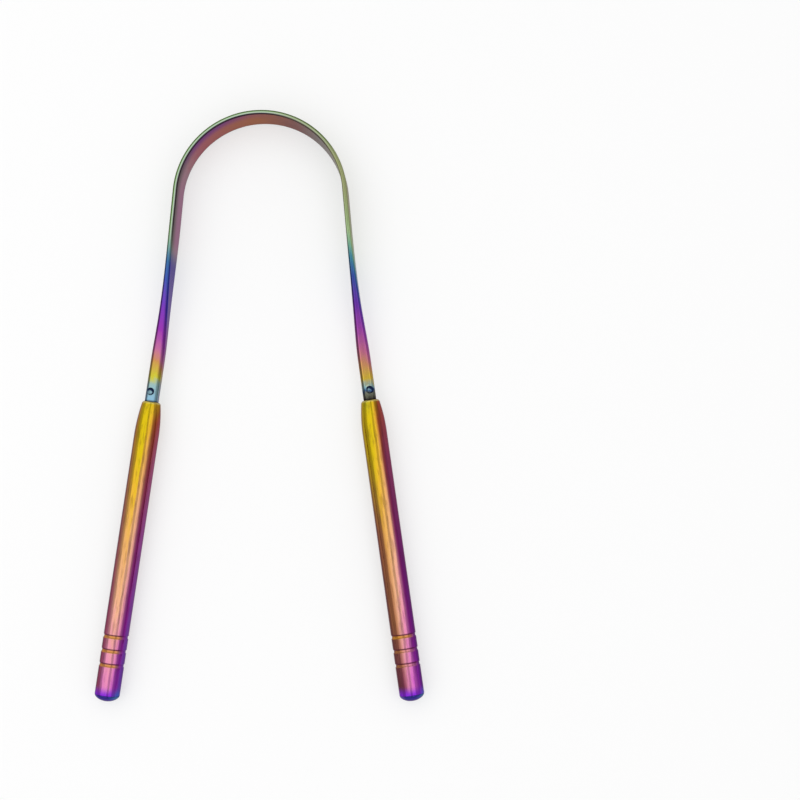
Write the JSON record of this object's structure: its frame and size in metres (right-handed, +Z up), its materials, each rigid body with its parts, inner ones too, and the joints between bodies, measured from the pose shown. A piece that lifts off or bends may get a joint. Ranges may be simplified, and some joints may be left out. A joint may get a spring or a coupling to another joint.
{
  "type": "tongue scraper",
  "caption": "U-shaped steel tongue scraper: a bar pressed flat into an arched blade, with grooved round tube handles closed by domed caps, in a heat-coloured finish.",
  "frame": {"origin": "on the table under the middle of the scraper's box", "axes": "+X across the U, +Y along it towards the arch, +Z up from the table that it lies on"},
  "size_m": [0.0794, 0.1445, 0.0088],
  "materials": {
    "coloured_blade": "polished stainless steel with a heat-coloured coat, pale green at the arch to blue, violet, pink and yellow towards the handles",
    "coloured_tube": "polished stainless steel tube with a heat-coloured coat, yellow at the mouth to gold, pink and violet",
    "coloured_cap": "polished stainless steel with a deep blue heat-coloured coat"
  },
  "bodies": {
    "root": {"scraper_blade": "coloured_blade", "left_handle_tube": "coloured_tube", "right_handle_tube": "coloured_tube", "left_end_cap": "coloured_cap", "right_end_cap": "coloured_cap"}
  },
  "joints": []
}
